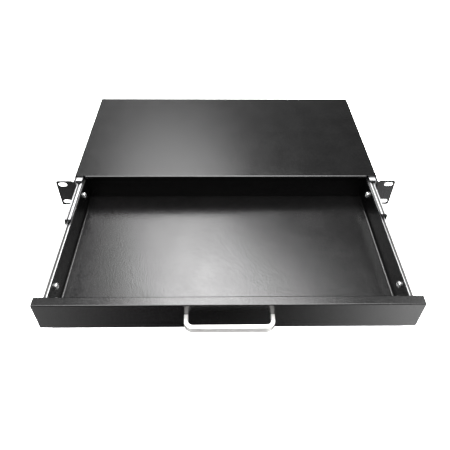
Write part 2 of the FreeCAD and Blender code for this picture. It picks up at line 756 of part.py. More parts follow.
def front_nuts():
    body = new_body("front_nuts")
    hexes = new_sketch(body, "XZ_Plane", f"{panel_back} + sheet_gauge")
    bores = new_sketch(body, "XZ_Plane", f"{panel_back} + sheet_gauge")
    for x, z in stud_places():
        across = "nut_flats / cos(30) / 2"
        turns = range(0, 360, 60)
        outline(hexes, [corner(f"{x} + {across} * cos({turn + 30})", f"{across} * sin({turn + 30})")
                        for turn in turns])
        ring(bores, x, z, "stud_size + 2 * fit_gap")
    pad(body, hexes, "nut_height", away=True)
    cut(body, bores, "nut_height")
    return body


def pull_handle():
    body = new_body("pull_handle")
    plan = new_sketch(body, "XY_Plane")
    nose = f"({panel_face} - pull_reach)"
    outer, inner = "(pull_span / 2 + pull_bar / 2)", "(pull_span / 2 - pull_bar / 2)"
    outline(plan, [
        corner(f"0 - {outer}", panel_face), corner(f"0 - {outer}", nose, "pull_corner"),
        corner(outer, nose, "pull_corner"), corner(outer, panel_face),
        corner(inner, panel_face), corner(inner, f"{nose} + pull_bar", "pull_corner - pull_bar"),
        corner(f"0 - {inner}", f"{nose} + pull_bar", "pull_corner - pull_bar"),
        corner(f"0 - {inner}", panel_face),
    ])
    pad(body, plan, "pull_height", both=True)
    side = number("pull_height / 2")
    foot = number(panel_face)
    rims = edges_where(body, lambda edge, c: close(abs(c.z), side) and not close(c.y, foot))
    fillet(body, rims, "pull_edge")
    bores = new_sketch(body, "XZ_Plane", panel_face)
    for x, z in pull_places():
        ring(bores, x, z, "pull_screw + 2 * fit_gap")
    cut(body, bores, "pull_bore_depth", away=True)
    return body


def handle_screws():
    body = new_body("handle_screws")
    pan_screws(body, "XZ_Plane", f"({panel_back} + sheet_gauge)", pull_places(), "pull_screw", 1,
               "2 * sheet_gauge + pull_bore_depth - pull_screw_spare")
    return body


parts = [case_shell(), base_plate(), base_screws(), clinch_nuts()]
for side, name in ((-1, "left"), (1, "right")):
    middle_line = f"rail_front + middle_start - middle_open_{name}"
    outer_run = "rail_front + outer_cage_start", "rail_gauge + member_gap"
    inner_run = f"{middle_line} + inner_cage_start", f"{middle_web} + rail_gauge + member_gap"
    parts += [
        slide_outer(side, name), slide_middle(side, name), slide_inner(side, name),
        cage(side, f"outer_cage_{name}", *outer_run, outer_ball_depth, outer_ball_line,
             "outer_cage_length"),
        cage(side, f"inner_cage_{name}", *inner_run, inner_ball_depth, inner_ball_line,
             "inner_cage_length"),
        balls(side, f"outer_balls_{name}", outer_run[0], outer_ball_depth, outer_ball_line,
              "outer_cage_length"),
        balls(side, f"inner_balls_{name}", inner_run[0], inner_ball_depth, inner_ball_line,
              "inner_cage_length"),
        outer_bumper(side, name), middle_bumper(side, name),
        rail_screws(side, name), tray_screws(side, name),
    ]
parts += [drawer_tray(), drawer_front(), front_nuts(), pull_handle(), handle_screws()]

doc.recompute()
for item in doc.Objects:
    if {"Invalid", "Error"} & set(item.State):
        raise RuntimeError(f"{item.Label} failed: {item.State}")
for part in parts:
    if part.Shape.isNull() or not part.Shape.isValid():
        raise RuntimeError(f"{part.Label} has no valid shape")

os.makedirs("parts", exist_ok=True)
for part in parts:
    part.Shape.exportStep(f"parts/{part.Label}.step")
    print(part.Label, len(part.Shape.Solids), round(part.Shape.Volume, 1))
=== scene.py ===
import math

import bmesh
import bpy
from mathutils import Matrix, Vector


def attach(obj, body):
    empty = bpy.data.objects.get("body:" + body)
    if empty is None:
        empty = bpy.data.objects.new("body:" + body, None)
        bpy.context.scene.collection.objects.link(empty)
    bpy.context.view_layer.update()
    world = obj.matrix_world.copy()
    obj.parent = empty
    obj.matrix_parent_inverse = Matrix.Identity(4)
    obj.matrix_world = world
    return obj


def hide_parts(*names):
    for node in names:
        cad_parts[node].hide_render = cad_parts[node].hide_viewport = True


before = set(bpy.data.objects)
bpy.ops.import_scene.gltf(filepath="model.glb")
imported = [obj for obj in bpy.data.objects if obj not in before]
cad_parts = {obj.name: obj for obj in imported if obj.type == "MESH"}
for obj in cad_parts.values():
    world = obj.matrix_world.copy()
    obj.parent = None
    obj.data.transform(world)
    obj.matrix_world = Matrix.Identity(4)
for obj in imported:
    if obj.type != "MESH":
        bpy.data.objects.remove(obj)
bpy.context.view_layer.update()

mm = 0.001
nearby = 0.02  # how close two places count as one, mm
weld = {"fold": 0.001, "piece": 0.0005}  # doubles nearer than this are merged, mm


# every step starts from a clean selection, and a finished piece has its place in its mesh
def clearSelection():
    if bpy.context.object and bpy.context.object.mode != "OBJECT":
        bpy.ops.object.mode_set(mode="OBJECT")
    bpy.ops.object.select_all(action="DESELECT")


def pick(piece):
    clearSelection()
    piece.select_set(True)
    bpy.context.view_layer.objects.active = piece


def named(name):
    piece = bpy.context.object
    piece.name = name
    piece.data.name = name
    return piece


def settle(piece):
    pick(piece)
    bpy.ops.object.transform_apply(location=True, rotation=True, scale=True)


def selectEdges(*tests):
    # edges whose two ends both pass one of the tests, in millimetres
    mesh = bmesh.from_edit_mesh(bpy.context.object.data)
    bpy.ops.mesh.select_mode(type="EDGE")
    bpy.ops.mesh.select_all(action="DESELECT")
    for edge in mesh.edges:
        ends = [vert.co / mm for vert in edge.verts]
        if any(test(*ends[0]) and test(*ends[1]) for test in tests):
            edge.select_set(True)
    bmesh.update_edit_mesh(bpy.context.object.data)


def selectFaces(test):
    mesh = bmesh.from_edit_mesh(bpy.context.object.data)
    bpy.ops.mesh.select_mode(type="FACE")
    bpy.ops.mesh.select_all(action="DESELECT")
    for face in mesh.faces:
        face.select_set(test(face.calc_center_median() / mm, face.normal))
    bmesh.update_edit_mesh(bpy.context.object.data)


def near(a, b):
    return abs(a - b) < nearby


def addModifier(piece, kind, **settings):
    pick(piece)
    modifier = piece.modifiers.new(kind.lower(), kind)
    for key, value in settings.items():
        setattr(modifier, key, value)
    bpy.ops.object.modifier_apply(modifier=modifier.name)


def cutAway(piece, cutter):
    addModifier(piece, "BOOLEAN", operation="DIFFERENCE", solver="EXACT", object=cutter)
    bpy.data.objects.remove(cutter)


def joinSolid(piece, other):
    addModifier(piece, "BOOLEAN", operation="UNION", solver="EXACT", object=other)
    bpy.data.objects.remove(other)


def softenRims(piece, width, steps=2, angle=50):
    addModifier(piece, "BEVEL", width=width * mm, segments=steps, limit_method="ANGLE",
                angle_limit=math.radians(angle), use_clamp_overlap=True)


def smoothShade(piece, angle=32):
    # rounded bends stay smooth while the flats beside them stay truly flat
    pick(piece)
    bpy.ops.object.shade_smooth_by_angle(angle=math.radians(angle))
    addModifier(piece, "WEIGHTED_NORMAL", mode="FACE_AREA", weight=100, keep_sharp=True)


def duplicate(piece, name):
    # a copy with its own mesh
    pick(piece)
    bpy.ops.object.duplicate(linked=False)
    return named(name)


def joinPieces(pieces, name):
    clearSelection()
    for piece in pieces:
        piece.select_set(True)
    bpy.context.view_layer.objects.active = pieces[0]
    bpy.ops.object.join()
    return named(name)


def block(x, y, z):
    # a cutter or blank between two limits on each axis
    clearSelection()
    bpy.ops.mesh.primitive_cube_add(size=1, location=[(a + b) / 2 * mm for a, b in (x, y, z)])
    bpy.context.object.scale = [(b - a) * mm for a, b in (x, y, z)]
    blank = named("blank")
    settle(blank)
    return blank


def foldedSheet(name, path, span, run, gauge, bends, steps=7):
    # a strip folded along a path: run is the axis that the folds lie along, and the path's two
    # numbers are the other two axes, in order; the gauge goes to the inside of the folds, or to
    # the outside where it is negative
    axes = {"x": (1, 2, 0), "y": (0, 2, 1), "z": (0, 1, 2)}[run]

    def at(point, along):
        place = [0.0, 0.0, 0.0]
        place[axes[0]], place[axes[1]], place[axes[2]] = point[0], point[1], along
        return Vector(place) * mm

    def fold(point):
        return lambda *spot: near(spot[axes[0]], point[0]) and near(spot[axes[1]], point[1])

    clearSelection()
    bpy.ops.mesh.primitive_plane_add(size=1)
    strip = named(name)
    bpy.ops.object.mode_set(mode="EDIT")
    mesh = bmesh.from_edit_mesh(strip.data)
    corners = [at(path[step], span[far]) for step, far in ((0, 0), (0, 1), (1, 1), (1, 0))]
    for vert, corner in zip(next(iter(mesh.faces)).verts, corners):
        vert.co = corner
    bmesh.update_edit_mesh(strip.data)
    for start, end in zip(path[1:-1], path[2:]):
        selectEdges(fold(start))
        step = at(end, 0) - at(start, 0)
        bpy.ops.mesh.extrude_edges_move(TRANSFORM_OT_translate={"value": step})
    for radius in sorted(set(bends.values())):
        selectEdges(*[fold(path[i]) for i, bend in bends.items() if bend == radius])
        bpy.ops.mesh.bevel(offset=radius * mm, offset_type="OFFSET", segments=steps, profile=0.5)
    bpy.ops.mesh.select_all(action="SELECT")
    bpy.ops.mesh.remove_doubles(threshold=weld["fold"] * mm)
    bpy.ops.mesh.normals_make_consistent(inside=False)
    bpy.ops.object.mode_set(mode="OBJECT")
    legs = [Vector(b) - Vector(a) for a, b in zip(path, path[1:])]
    turn = sum(a.cross(b) for a, b in zip(legs, legs[1:]))
    inward = Vector((-legs[0].y, legs[0].x)) * (1 if turn > 0 else -1)
    first = min(strip.data.polygons, key=lambda face: (face.center - at(
        (Vector(path[0]) + Vector(path[1])) / 2, (span[0] + span[1]) / 2)).length)
    if first.normal.dot(at(inward, 0)) > 0:
        strip.data.flip_normals()
    addModifier(strip, "SOLIDIFY", thickness=abs(gauge) * mm, offset=-1 if gauge > 0 else 1,
                use_even_offset=True, use_quality_normals=True)
    return strip


def faceOut(piece):
    pick(piece)
    bpy.ops.object.mode_set(mode="EDIT")
    bpy.ops.mesh.select_all(action="SELECT")
    bpy.ops.mesh.remove_doubles(threshold=weld["piece"] * mm)
    bpy.ops.mesh.normals_make_consistent(inside=False)
    bpy.ops.object.mode_set(mode="OBJECT")


def fit(piece, body, node, material):
    # ends a piece: its body, the CAD node it stands for and its finish
    faceOut(piece)
    smoothShade(piece)
    piece.data.materials.clear()
    piece.data.materials.append(material)
    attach(piece, body)
    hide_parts(node)
    return piece


# shader maths written as plain expressions
class Socket:
    def __init__(self, shader, link):
        self.shader, self.link = shader, link

    def maths(self, operation, *others):
        return self.shader.add("ShaderNodeMath", {"operation": operation}, [self, *others])

    def __add__(self, other): return self.maths("ADD", other)
    def __radd__(self, other): return self.maths("ADD", other)
    def __mul__(self, other): return self.maths("MULTIPLY", other)
    def __rmul__(self, other): return self.maths("MULTIPLY", other)
    def __sub__(self, other): return self.maths("SUBTRACT", other)
    def __rsub__(self, other): return self.shader.value(other).maths("SUBTRACT", self)


class Shader:
    def __init__(self, name, holder=None, surface="Principled BSDF", coordinates="Object"):
        self.material = holder or bpy.data.materials.new(name)
        self.material.use_nodes = True
        self.tree = self.material.node_tree
        self.surface = self.tree.nodes[surface]
        self.place = self.add("ShaderNodeTexCoord", {}, {}, coordinates)

    def value(self, number):
        return self.add("ShaderNodeMath", {"operation": "ADD"}, [number, 0.0])

    def add(self, kind, settings, values, output=0):
        node = self.tree.nodes.new(kind)
        for key, setting in settings.items():
            setattr(node, key, setting)
        pairs = enumerate(values) if isinstance(values, list) else values.items()
        for key, item in pairs:
            self.feed(node.inputs[key], item)
        return Socket(self, node.outputs[output])

    def feed(self, socket, item):
        if isinstance(item, Socket):
            self.tree.links.new(item.link, socket)
        else:
            socket.default_value = item

    def noise(self, scale, detail=2.0, rough=0.5, stretch=(1, 1, 1)):
        spot = self.add("ShaderNodeMapping", {}, {"Vector": self.place, "Scale": stretch})
        return self.add("ShaderNodeTexNoise", {}, {"Vector": spot, "Scale": scale,
                                                   "Detail": detail, "Roughness": rough}, "Fac")

    def axis(self, name):
        return self.add("ShaderNodeSeparateXYZ", {}, [self.place], name)

    def spread(self, source, low, high, toLow=0.0, toHigh=1.0):
        return self.add("ShaderNodeMapRange", {}, {"Value": source, "From Min": low,
                                                   "From Max": high, "To Min": toLow,
                                                   "To Max": toHigh}, "Result")

    def blend(self, factor, first, second):
        # inputs 0, 6 and 7 and output 2 are the factor, the two colours and the mixed colour
        first, second = (tone if isinstance(tone, Socket) else (*tone, 1)
                         for tone in (first, second))
        return self.add("ShaderNodeMix", {"data_type": "RGBA"},
                        {0: factor, 6: first, 7: second}, 2)

    def finish(self, **inputs):
        for key, item in inputs.items():
            self.feed(self.surface.inputs[key.replace("_", " ")], item)
        return self.material

    def bump(self, height, strength, distance):
        return self.add("ShaderNodeBump", {}, {"Height": height, "Strength": strength,
                                               "Distance": distance}, "Normal")


powderCoat = {"dark": (0.0012, 0.0012, 0.0013), "light": (0.0024, 0.0023, 0.0023),
              "roughLow": 0.195, "roughHigh": 0.235, "cloud": 35.0, "grain": 620.0,
              "speck": 310.0, "bump": 0.5, "bumpDepth": 0.0003}


def makePowderCoat():
    shader = Shader("blackPowderCoat")
    cloud = shader.noise(powderCoat["cloud"], 3.0)
    grain = shader.noise(powderCoat["grain"], 2.0, 0.6)
    speck = shader.noise(powderCoat["speck"], 2.0, 0.7)
    colour = shader.blend(shader.spread(speck, 0.35, 0.65), powderCoat["dark"],
                          powderCoat["light"])
    rough = shader.spread(cloud * 0.5 + speck * 0.5, 0.38, 0.62,
                          powderCoat["roughLow"], powderCoat["roughHigh"])
    normal = shader.bump(grain * 0.4 + speck * 0.6, powderCoat["bump"], powderCoat["bumpDepth"])
    return shader.finish(Base_Color=colour, Roughness=rough, Normal=normal)


# a painted dark line on the slides is its distance from the middle, its half width and its tone,
# and reach and top are how far above and below the slides' level the inner and outer lines go
zincPlate = {"pale": (0.93, 0.93, 0.935), "grey": (0.88, 0.88, 0.89), "roughLow": 0.30,
             "roughHigh": 0.34, "metal": 0.92, "bump": 0.01, "bumpDepth": 0.00005,
             "drawn": 900.0, "along": (1.0, 0.01, 1.0), "mottle": 60.0,
             "level": 5.8, "reach": 8.3, "top": 11.5,
             "outerTrack": (209.8, 1.4, 0.05), "outerTip": (205.7, 0.7, 0.12),
             "outerBend": (213.2, 0.6, 0.35), "innerTrack": (208.0, 1.5, 0.05)}


def makeZinc():
    shader = Shader("zincPlatedSteel")
    drawn = shader.noise(zincPlate["drawn"], 3.0, 0.6, zincPlate["along"])
    mottle = shader.noise(zincPlate["mottle"], 2.0)
    colour = shader.blend(shader.spread(mottle * 0.6 + drawn * 0.4, 0.3, 0.7),
                          zincPlate["grey"], zincPlate["pale"])
    # painted shade: the tip and bend lines stand for the gaps' shade, and the track lines are
    # grease plus painted groove shade
    across = shader.axis("X").maths("ABSOLUTE")
    high = (shader.axis("Z") - zincPlate["level"] * mm).maths("ABSOLUTE")
    inner = high.maths("LESS_THAN", zincPlate["reach"] * mm)
    outer = high.maths("LESS_THAN", zincPlate["top"] * mm) - inner
    for line, there in (("outerTrack", outer), ("outerTip", outer), ("outerBend", outer),
                        ("innerTrack", inner)):
        track, reach, tone = zincPlate[line]
        off = (across - track * mm).maths("ABSOLUTE")
        # mask of one painted dark line: shade of a gap or groove, with grease on the tracks
        greaseAndPaintedShade = shader.spread(off, reach * 0.7 * mm, reach * 1.1 * mm, 1.0, 0.0) * there
        colour = shader.blend(greaseAndPaintedShade, colour, (tone, tone, tone))
    rough = shader.spread(drawn, 0.3, 0.7, zincPlate["roughLow"], zincPlate["roughHigh"])
    return shader.finish(Base_Color=colour, Roughness=rough, Metallic=zincPlate["metal"],
                         Normal=shader.bump(drawn, zincPlate["bump"], zincPlate["bumpDepth"]))


screwPlate = {"pale": (0.92, 0.92, 0.91), "grey": (0.84, 0.84, 0.85), "roughLow": 0.22,
              "roughHigh": 0.30, "metal": 0.9, "mottle": 700.0, "bump": 0.05,
              "bumpDepth": 0.00003}


def makeScrewPlate():
    shader = Shader("brightScrewPlate")
    mottle = shader.noise(screwPlate["mottle"], 3.0)
    colour = shader.blend(shader.spread(mottle, 0.35, 0.65), screwPlate["grey"],
                          screwPlate["pale"])
    rough = shader.spread(mottle, 0.3, 0.7, screwPlate["roughLow"], screwPlate["roughHigh"])
    return shader.finish(Base_Color=colour, Roughness=rough, Metallic=screwPlate["metal"],
                         Normal=shader.bump(mottle, screwPlate["bump"],
                                            screwPlate["bumpDepth"]))


bearingSteel = {"dark": (0.70, 0.70, 0.72), "light": (0.80, 0.80, 0.82), "haze": 400.0,
                "roughLow": 0.06, "roughHigh": 0.14}


def makeBearingSteel():
    shader = Shader("bearingSteel")
    haze = shader.noise(bearingSteel["haze"], 2.0)
    colour = shader.blend(shader.spread(haze, 0.4, 0.6), bearingSteel["dark"],
                          bearingSteel["light"])
    rough = shader.spread(haze, 0.3, 0.7, bearingSteel["roughLow"], bearingSteel["roughHigh"])
    return shader.finish(Base_Color=colour, Roughness=rough, Metallic=1.0)


blackPlastic = {"dark": (0.002, 0.002, 0.002), "light": (0.004, 0.004, 0.004), "spark": 2200.0,
                "roughLow": 0.38, "roughHigh": 0.48, "shine": 0.12, "bump": 0.05,
                "bumpDepth": 0.00004}


def makePlastic():
    shader = Shader("blackPlastic")
    spark = shader.noise(blackPlastic["spark"], 2.0)
    colour = shader.blend(shader.spread(spark, 0.3, 0.7), blackPlastic["dark"],
                          blackPlastic["light"])
    rough = shader.spread(spark, 0.3, 0.7, blackPlastic["roughLow"], blackPlastic["roughHigh"])
    return shader.finish(Base_Color=colour, Roughness=rough,
                         Specular_IOR_Level=blackPlastic["shine"],
                         Normal=shader.bump(spark, blackPlastic["bump"],
                                            blackPlastic["bumpDepth"]))


pullFinish = {"pale": (0.66, 0.65, 0.635), "grey": (0.60, 0.59, 0.575), "roughLow": 0.27,
              "roughHigh": 0.35, "metal": 0.72, "brushed": 1400.0, "along": (0.03, 1.0, 1.0),
              "haze": 90.0, "bump": 0.06, "bumpDepth": 0.00004}


def makeSatinAluminium():
    shader = Shader("satinAluminium")
    brushed = shader.noise(pullFinish["brushed"], 3.0, 0.6, pullFinish["along"])
    haze = shader.noise(pullFinish["haze"], 2.0)
    colour = shader.blend(shader.spread(brushed * 0.5 + haze * 0.5, 0.35, 0.65),
                          pullFinish["grey"], pullFinish["pale"])
    rough = shader.spread(brushed, 0.3, 0.7, pullFinish["roughLow"], pullFinish["roughHigh"])
    return shader.finish(Base_Color=colour, Roughness=rough, Metallic=pullFinish["metal"],
                         Normal=shader.bump(brushed, pullFinish["bump"],
                                            pullFinish["bumpDepth"]))


blackCoat = makePowderCoat()
zinc = makeZinc()
screwMetal = makeScrewPlate()
ballSteel = makeBearingSteel()
plastic = makePlastic()
satinMetal = makeSatinAluminium()
print("materials ready")


# the case: a wrap of sheet with the rack ears, the notch for the drawer's front and the lip
case = {"half": 217.0, "top": 22.0, "foot": -20.8, "depth": 230.0, "flange": 13.2, "gauge": 1.2,
        "bend": 1.8, "rim": 0.18, "cover": 12.7, "notch": 2.3, "lipFace": 11.0, "lipHalf": 202.0,
        "lipDrop": 3.7, "lipBend": 2.6, "earTip": 241.3, "earFold": 6.0, "earCorner": 3.0,
        "earBend": 0.6, "slotX": 232.55, "slotZ": 15.875, "slotLength": 12.0,
        "slotHeight": 7.0, "slotDepth": 8.0, "overrun": 1.0, "notchBlock": 8.0, "notchStart": -5.0}


def slotCutter(x, z):
    straight = (case["slotLength"] - case["slotHeight"]) / 2
    clearSelection()
    bpy.ops.mesh.primitive_cylinder_add(vertices=48, radius=case["slotHeight"] / 2 * mm,
                                        depth=case["slotDepth"] * mm,
                                        rotation=(math.pi / 2, 0, 0))
    cutter = named("slotCutter")
    settle(cutter)
    bpy.ops.object.mode_set(mode="EDIT")
    mesh = bmesh.from_edit_mesh(cutter.data)
    for vert in mesh.verts:
        if not near(vert.co.x / mm, 0):
            vert.co.x += math.copysign(straight * mm, vert.co.x)
    bmesh.update_edit_mesh(cutter.data)
    bpy.ops.object.mode_set(mode="OBJECT")
    cutter.data.transform(Matrix.Translation((x * mm, 0, z * mm)))
    return cutter


def makeCase():
    half, foot, top, gauge = case["half"], case["foot"], case["top"], case["gauge"]
    inner = half - case["flange"]
    wrap = foldedSheet("caseShell", [(inner, foot), (half, foot), (half, top), (-half, top),
                                     (-half, foot), (-inner, foot)],
                       (case["earFold"], case["depth"]), "y", gauge,
                       {1: case["bend"], 2: case["bend"], 3: case["bend"], 4: case["bend"]})
    for side in (-1, 1):
        path = [(side * half, case["earFold"]), (side * half, gauge),
                (side * case["earTip"], gauge)]
        if side < 0:
            path.reverse()
        ear = foldedSheet("ear", path, (-top, top), "z", -gauge, {1: case["earBend"]})
        pick(ear)
        bpy.ops.object.mode_set(mode="EDIT")
        selectEdges(lambda x, y, z: near(abs(x), case["earTip"]) and near(z, top),
                    lambda x, y, z: near(abs(x), case["earTip"]) and near(z, -top))
        bpy.ops.mesh.bevel(offset=case["earCorner"] * mm, segments=8)
        bpy.ops.object.mode_set(mode="OBJECT")
        faceOut(ear)
        joinSolid(wrap, ear)
        for up in (-1, 1):
            cutAway(wrap, slotCutter(side * case["slotX"], up * case["slotZ"]))
    shoulder = top - case["notch"]
    rim, edge = half + case["notch"] + case["overrun"], top + case["overrun"]
    notch = foldedSheet("notch", [(-rim, edge), (-half, shoulder), (half, shoulder), (rim, edge)],
                        (case["notchStart"], case["cover"]), "y", case["notchBlock"], {})
    faceOut(notch)
    cutAway(wrap, notch)
    lip = foldedSheet("lip", [(case["lipFace"], top - case["lipDrop"]), (case["lipFace"], top),
                              (case["cover"] + case["notchBlock"], top)],
                      (-case["lipHalf"], case["lipHalf"]), "x", gauge, {1: case["lipBend"]})
    faceOut(lip)
    joinSolid(wrap, lip)
    softenRims(wrap, case["rim"])
    return fit(wrap, "case", "case_shell", blackCoat)


makeCase()
print("case shell folded")


# the tray: a U of sheet closed by two end walls
tray = {"half": 203.1, "front": -211.3, "rear": 14.8, "under": -19.2, "top": 17.5, "gauge": 1.2,
        "bend": 3.6, "rim": 0.2, "endSkin": 0.2}


def makeTray():
    half, under, top = tray["half"], tray["under"], tray["top"]
    pan = foldedSheet("drawerTray", [(-half, top), (-half, under), (half, under), (half, top)],
                      (tray["front"], tray["rear"]), "y", tray["gauge"],
                      {1: tray["bend"], 2: tray["bend"]}, 9)
    faceOut(pan)
    for ends in ((tray["front"], tray["front"] + tray["gauge"]),
                 (tray["rear"] - tray["gauge"], tray["rear"])):
        wall = foldedSheet("endWall", [(-half, top), (-half, under), (half, under), (half, top)],
                           ends, "y", tray["endSkin"], {1: tray["bend"], 2: tray["bend"]}, 9)
        pick(wall)
        bpy.ops.object.mode_set(mode="EDIT")
        bpy.ops.mesh.select_all(action="SELECT")
        bpy.ops.mesh.convex_hull()
        bpy.ops.object.mode_set(mode="OBJECT")
        faceOut(wall)
        joinSolid(pan, wall)
    softenRims(pan, tray["rim"])
    return fit(pan, "drawer", "drawer_tray", blackCoat)


makeTray()
print("tray folded")


# the drawer front: a panel with a top flange, a return along its foot and cut-back ends
panel = {"half": 216.7, "face": -212.5, "flangeEnd": -200.2, "returnEnd": -204.5, "rise": 21.25,
         "fall": 21.9, "gauge": 1.2, "bend": 1.3, "rim": 0.22, "lead": 1.45, "leadDrop": 1.1,
         "wing": 14.0, "wingLift": 1.5, "overrun": 5.0}


def makePanel():
    front = foldedSheet("drawerFront", [(panel["flangeEnd"], panel["rise"]),
                                        (panel["flangeEnd"] - panel["lead"], panel["rise"]),
                                        (panel["face"], panel["rise"]),
                                        (panel["face"], -panel["fall"]),
                                        (panel["returnEnd"], -panel["fall"])],
                        (-panel["half"], panel["half"]), "x", panel["gauge"],
                        {2: panel["bend"], 3: panel["bend"]}, 8)
    faceOut(front)
    pick(front)
    # the flange's rear edge slopes down to clear the case when the drawer is closed
    bpy.ops.object.mode_set(mode="EDIT")
    selectEdges(lambda x, y, z: near(y, panel["flangeEnd"]) and near(z, panel["rise"]))
    bpy.ops.transform.translate(value=(0, 0, -panel["leadDrop"] * mm))
    bpy.ops.object.mode_set(mode="OBJECT")
    past = panel["overrun"]
    for side in (-1, 1):
        ends = sorted((side * (panel["half"] - panel["wing"]), side * (panel["half"] + past)))
        cutAway(front, block(ends, (panel["face"] - past, panel["returnEnd"] + past),
                             (-panel["fall"] - past, panel["wingLift"] - panel["fall"])))
    softenRims(front, panel["rim"])
    return fit(front, "drawer", "drawer_front", blackCoat)


makePanel()
print("front panel folded")


# the pull handle: one flat bar bent into a bow
pull = {"half": 50.5, "foot": -212.5, "nose": -230.8, "bar": 4.4, "height": 8.5,
        "corner": 10.0, "edge": 0.35}


def makePull():
    bow = foldedSheet("pullHandle", [(-pull["half"], pull["foot"]), (-pull["half"], pull["nose"]),
                                     (pull["half"], pull["nose"]), (pull["half"], pull["foot"])],
                      (-pull["height"] / 2, pull["height"] / 2), "z", pull["bar"],
                      {1: pull["corner"], 2: pull["corner"]}, 20)
    faceOut(bow)
    softenRims(bow, pull["edge"], 4, 40)
    return fit(bow, "drawer", "pull_handle", satinMetal)


makePull()
print("pull handle bent")


# the slides: a slide's own x runs from the case wall to the drawer, and y from its front end;
# races are how far out and how high the ball races are
slide = {"wall": 215.8, "level": 5.8, "gauge": 1.2, "bend": 1.8, "rim": 0.12, "race": 1.6,
         "outerRace": (5.6, 11.2), "innerRace": (8.4, 7.8), "hole": 2.05, "overrun": 4.0,
         "overlap": 0.05}
outerMember = {"half": 13.5, "web": 0.0, "tip": 9.8, "start": 5.0, "length": 218.0,
               "races": ("outerRace",), "holes": (25.0, 110.0, 195.0)}
middleMember = {"half": 10.1, "web": 2.3, "tip": 10.4, "start": 8.2, "length": 208.0,
                "races": ("outerRace", "innerRace"), "left": 79.0, "right": 70.0}
innerMember = {"half": 6.7, "web": 12.7, "tip": 5.2, "start": -206.1, "length": 218.0,
               "races": ("innerRace",), "holes": (33.0, 195.0), "boss": 3.0, "bossDepth": 1.6}


def rod(x, y, z, radius, length, axis):
    # a round bar along an axis, centred on a place
    turn = {"x": (0, math.pi / 2, 0), "y": (math.pi / 2, 0, 0)}[axis]
    clearSelection()
    bpy.ops.mesh.primitive_cylinder_add(vertices=32, radius=radius * mm, depth=length * mm,
                                        location=(x * mm, y * mm, z * mm), rotation=turn)
    bar = named("rod")
    settle(bar)
    return bar


def channel(name, member):
    # a rolled C section with ball races pressed along its flanges and round holes in its web
    web, tip, half = member["web"], member["tip"], member["half"]
    strip = foldedSheet(name, [(tip, half), (web, half), (web, -half), (tip, -half)],
                        (0, member["length"]), "y", slide["gauge"],
                        {1: slide["bend"], 2: slide["bend"]}, 6)
    faceOut(strip)
    for race in member["races"]:
        depth, line = slide[race]
        for up in (-1, 1):
            cutAway(strip, rod(depth, member["length"] / 2, up * line, slide["race"],
                               member["length"] + slide["overrun"], "y"))
    for place in member.get("holes", ()):
        if "boss" in member:
            back = web - slide["gauge"] - member["bossDepth"] / 2 + slide["overlap"]
            joinSolid(strip, rod(back, place, 0, member["boss"],
                                 member["bossDepth"] + slide["overlap"] * 2, "x"))
        cutAway(strip, rod(web, place, 0, slide["hole"], slide["overrun"] * 2, "x"))
    return strip


def placeSlide(piece, side, start):
    if side > 0:
        piece.data.transform(Matrix.Rotation(math.pi, 4, "Y"))
    piece.data.transform(Matrix.Translation((side * slide["wall"] * mm, start * mm,
                                             slide["level"] * mm)))


def makeSlides(side, name):
    for part, member, body, start in (
            ("Outer", outerMember, "case", outerMember["start"]),
            ("Middle", middleMember, f"middle_{name}", middleMember["start"] - middleMember[name]),
            ("Inner", innerMember, "drawer", innerMember["start"])):
        piece = channel(f"slide{part}{name.title()}", member)
        placeSlide(piece, side, start)
        softenRims(piece, slide["rim"])
        fit(piece, body, f"slide_{part.lower()}_{name}", zinc)


for side, name in ((-1, "left"), (1, "right")):
    makeSlides(side, name)
print("slides rolled")


bumper = {"gauge": 1.3, "length": 7.5, "root": 3.0, "notch": 1.3, "plate": 1.6, "rim": 0.1,
          "overrun": 1.0}


def prism(corners, z):
    # an upright cutter with a three-cornered outline
    clearSelection()
    bpy.ops.mesh.primitive_cylinder_add(vertices=3, radius=1, depth=1)
    cutter = named("prism")
    bpy.ops.object.mode_set(mode="EDIT")
    mesh = bmesh.from_edit_mesh(cutter.data)
    for up, height in ((False, z[0]), (True, z[1])):
        ring = [vert for vert in mesh.verts if (vert.co.z > 0) == up]
        for vert, (x, y) in zip(sorted(ring, key=lambda v: math.atan2(v.co.y, v.co.x)), corners):
            vert.co = Vector((x, y, height)) * mm
    bmesh.update_edit_mesh(cutter.data)
    bpy.ops.object.mode_set(mode="OBJECT")
    faceOut(cutter)
    return cutter


def makeBumper(side, name):
    # the plastic cap on the middle member, with two prongs on each flange
    web, tip, half = (middleMember[key] for key in ("web", "tip", "half"))
    cap = foldedSheet(f"middleBumper{name.title()}", [(tip, half), (web, half), (web, -half),
                                                      (tip, -half)],
                      (-bumper["length"], 0), "y", bumper["gauge"], {})
    faceOut(cap)
    past = bumper["overrun"]
    end = -bumper["length"] - past
    height = (-half - past, half + past)
    cutAway(cap, block((web - past, web + bumper["gauge"] + 0.01), (end, -bumper["plate"]),
                       (bumper["gauge"] - half, half - bumper["gauge"])))
    quarter = [web + step * (tip - web) / 4 for step in range(5)]
    slope = bumper["length"] - bumper["root"]
    for edge, flank in ((0, 1), (4, 3)):
        reach = quarter[edge] + (quarter[flank] - quarter[edge]) * (slope + past) / slope
        outside = quarter[edge] + (past if edge else -past)
        cutAway(cap, prism([(reach, end), (quarter[edge], -bumper["root"]), (quarter[edge], end)],
                           height))
        cutAway(cap, block(sorted((quarter[edge], outside)), (end, -bumper["root"]), height))
    cutAway(cap, prism([(quarter[1], end), (quarter[3], end), (quarter[2], -bumper["notch"])],
                       height))
    placeSlide(cap, side, middleMember["start"] - middleMember[name])
    softenRims(cap, bumper["rim"], 1)
    fit(cap, f"middle_{name}", f"middle_bumper_{name}", plastic)


for side, name in ((-1, "left"), (1, "right")):
    makeBumper(side, name)
print("slide caps moulded")


